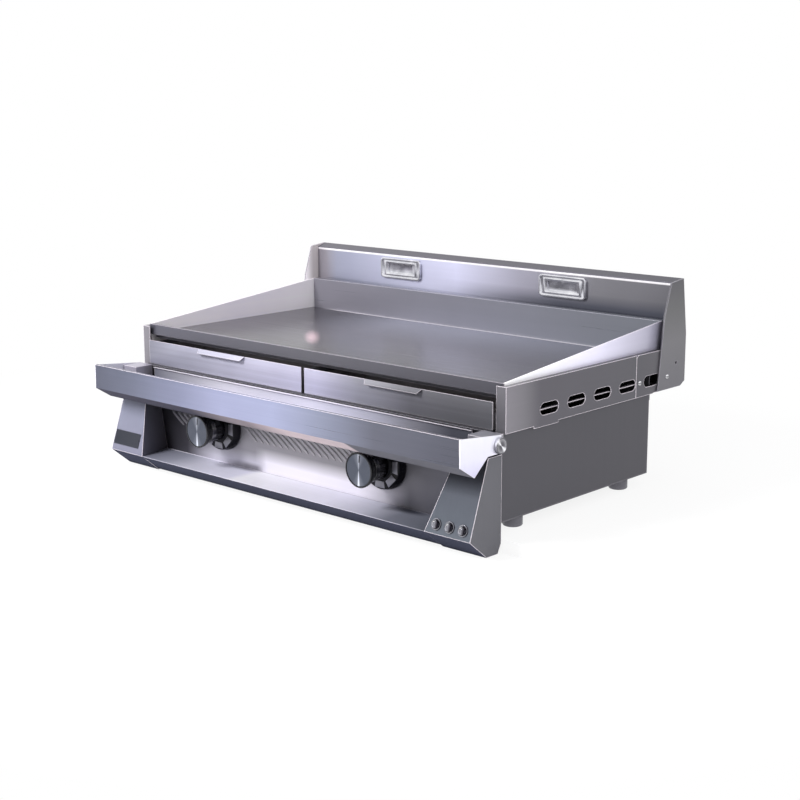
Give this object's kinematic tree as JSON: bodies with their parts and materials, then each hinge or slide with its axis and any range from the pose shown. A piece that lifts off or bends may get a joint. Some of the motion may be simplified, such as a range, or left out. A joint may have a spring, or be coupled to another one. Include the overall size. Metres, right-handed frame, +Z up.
{
  "type": "bench-top gas griddle station",
  "caption": "Bench-top gas griddle with a recessed steel plate, splash guards, splashback, grease drawers, front rail trough, push-and-turn knobs and igniter buttons.",
  "frame": {"origin": "centre of the bounding box's footprint at the level of the fascia's underside; the feet stand 22.5 mm higher, on the bench", "axes": "+X to the right along the width, +Y to the back, +Z up"},
  "size_m": [0.9346, 0.636, 0.3915],
  "materials": {
    "brushed_steel_body": "dark brushed",
    "brushed_steel": "brushed",
    "bright_steel": "bright brushed",
    "plate_steel": "ground, satin",
    "burner_steel": "heat-tinted",
    "gas_brass": "machined",
    "gas_pipe": "zinc-plated",
    "plunger_steel": "turned",
    "knob_black": "semi-gloss",
    "spun_aluminium": "spun",
    "chrome": "polished",
    "foot_grey": "matt"
  },
  "bodies": {
    "station": {"body_side_left": "brushed_steel_body", "body_side_right": "brushed_steel_body", "base_pan": "brushed_steel_body", "back_panel": "brushed_steel_body", "control_panel": "brushed_steel", "fascia_shelf": "brushed_steel", "cheek_left": "brushed_steel", "cheek_right": "brushed_steel", "data_plate": "spun_aluminium", "drawer_shelf": "brushed_steel_body", "drawer_guides": "brushed_steel_body", "case_side_left": "brushed_steel", "case_side_right": "brushed_steel", "rear_bracket_left": "brushed_steel", "rear_bracket_right": "brushed_steel", "griddle_plate": "plate_steel", "guard_left": "bright_steel", "guard_right": "bright_steel", "upstand": "brushed_steel", "front_lip": "brushed_steel", "burner_left": "burner_steel", "burner_right": "burner_steel", "injectors": "gas_brass", "gas_manifold": "gas_pipe", "valve_left": "gas_brass", "valve_right": "gas_brass", "dial_bezels": "knob_black", "pilots": "gas_brass", "thermocouples": "burner_steel", "igniters": "chrome", "heat_shield": "brushed_steel_body", "flue_duct": "brushed_steel_body", "splash_end_left": "brushed_steel", "splash_end_right": "brushed_steel", "splash_panel": "brushed_steel", "rear_cover": "brushed_steel_body", "flush_pulls": "bright_steel", "rail_trough": "brushed_steel", "rail_caps": "bright_steel", "rail_blocks": "brushed_steel", "feet": "foot_grey", "case_screws": "chrome"},
    "drawer_left": {"drawer_tray_left": "bright_steel", "drawer_front_left": "bright_steel"},
    "drawer_right": {"drawer_tray_right": "bright_steel", "drawer_front_right": "bright_steel"},
    "plunger_left": {"plunger_left": "plunger_steel"},
    "plunger_right": {"plunger_right": "plunger_steel"},
    "knob_left": {"knob_left": "knob_black", "knob_insert_left": "spun_aluminium", "spindle_left": "gas_brass"},
    "knob_right": {"knob_right": "knob_black", "knob_insert_right": "spun_aluminium", "spindle_right": "gas_brass"},
    "button_inner": {"button_inner": "chrome"},
    "button_middle": {"button_middle": "chrome"},
    "button_outer": {"button_outer": "chrome"},
    "rail_screw_left": {"rail_screw_left": "chrome"},
    "rail_screw_right": {"rail_screw_right": "chrome"}
  },
  "joints": [
    {"name": "drawer_left_slide", "type": "slide", "parent": "station", "child": "drawer_left", "axis": [0, -1, 0], "range_m": [0, 0.1]},
    {"name": "knob_left_push", "type": "slide", "parent": "station", "child": "plunger_left", "axis": [0, 1, 0], "range_m": [0, 0.005], "stiffness_N_per_m": 1500, "springref_m": -0.002},
    {"name": "knob_left_turn", "type": "hinge", "parent": "plunger_left", "child": "knob_left", "pos_m": [-0.208, -0.201, 0.106], "axis": [0, -1, 0], "range_deg": [0, 270]},
    {"name": "drawer_right_slide", "type": "slide", "parent": "station", "child": "drawer_right", "axis": [0, -1, 0], "range_m": [0, 0.1]},
    {"name": "knob_right_push", "type": "slide", "parent": "station", "child": "plunger_right", "axis": [0, 1, 0], "range_m": [0, 0.005], "stiffness_N_per_m": 1500, "springref_m": -0.002},
    {"name": "knob_right_turn", "type": "hinge", "parent": "plunger_right", "child": "knob_right", "pos_m": [0.208, -0.201, 0.106], "axis": [0, -1, 0], "range_deg": [0, 270]},
    {"name": "button_inner_push", "type": "slide", "parent": "station", "child": "button_inner", "axis": [0, 0.9459, -0.3244], "range_m": [0, 0.003], "stiffness_N_per_m": 3000, "springref_m": -0.0005},
    {"name": "button_middle_push", "type": "slide", "parent": "station", "child": "button_middle", "axis": [0, 0.9459, -0.3244], "range_m": [0, 0.003], "stiffness_N_per_m": 3000, "springref_m": -0.0005},
    {"name": "button_outer_push", "type": "slide", "parent": "station", "child": "button_outer", "axis": [0, 0.9459, -0.3244], "range_m": [0, 0.003], "stiffness_N_per_m": 3000, "springref_m": -0.0005},
    {"name": "rail_screw_left_turn", "type": "hinge", "parent": "station", "child": "rail_screw_left", "pos_m": [-0.462, -0.223, 0.18], "axis": [-1, 0, 0], "continuous": true},
    {"name": "rail_screw_right_turn", "type": "hinge", "parent": "station", "child": "rail_screw_right", "pos_m": [0.462, -0.223, 0.18], "axis": [1, 0, 0], "continuous": true}
  ]
}
